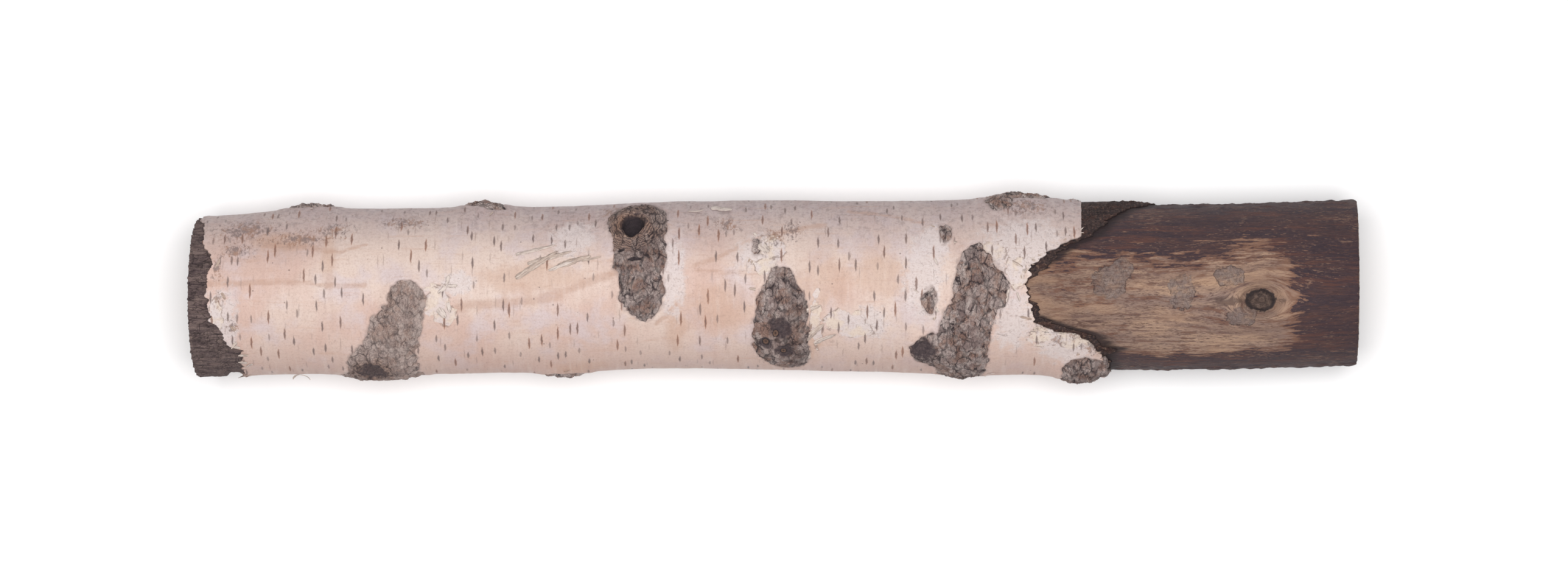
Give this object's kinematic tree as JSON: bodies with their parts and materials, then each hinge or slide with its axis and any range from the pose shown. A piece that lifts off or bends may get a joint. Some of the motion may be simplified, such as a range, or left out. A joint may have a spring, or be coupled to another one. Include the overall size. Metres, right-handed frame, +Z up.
{
  "type": "wood log",
  "caption": "Short birch log with white bark, knots and sawn ends, its bark torn away to bare wood near one end.",
  "frame": {"origin": "on the surface that the log lies on, below the middle of its bounding box", "axes": "+X runs along the log from the end that is in bark to the bare end, +Y is across it, +Z is up from the surface that it lies on"},
  "size_m": [0.5038, 0.0796, 0.0791],
  "materials": {
    "wood": "bare weathered birch wood, tan with dark brown stains, dry and matte",
    "bark": "papery white birch bark, cream to pink-grey, satin, with rough grey-brown knots and a dark brown inner layer"
  },
  "bodies": {
    "root": {"wood": "wood", "bark": "bark"}
  },
  "joints": []
}
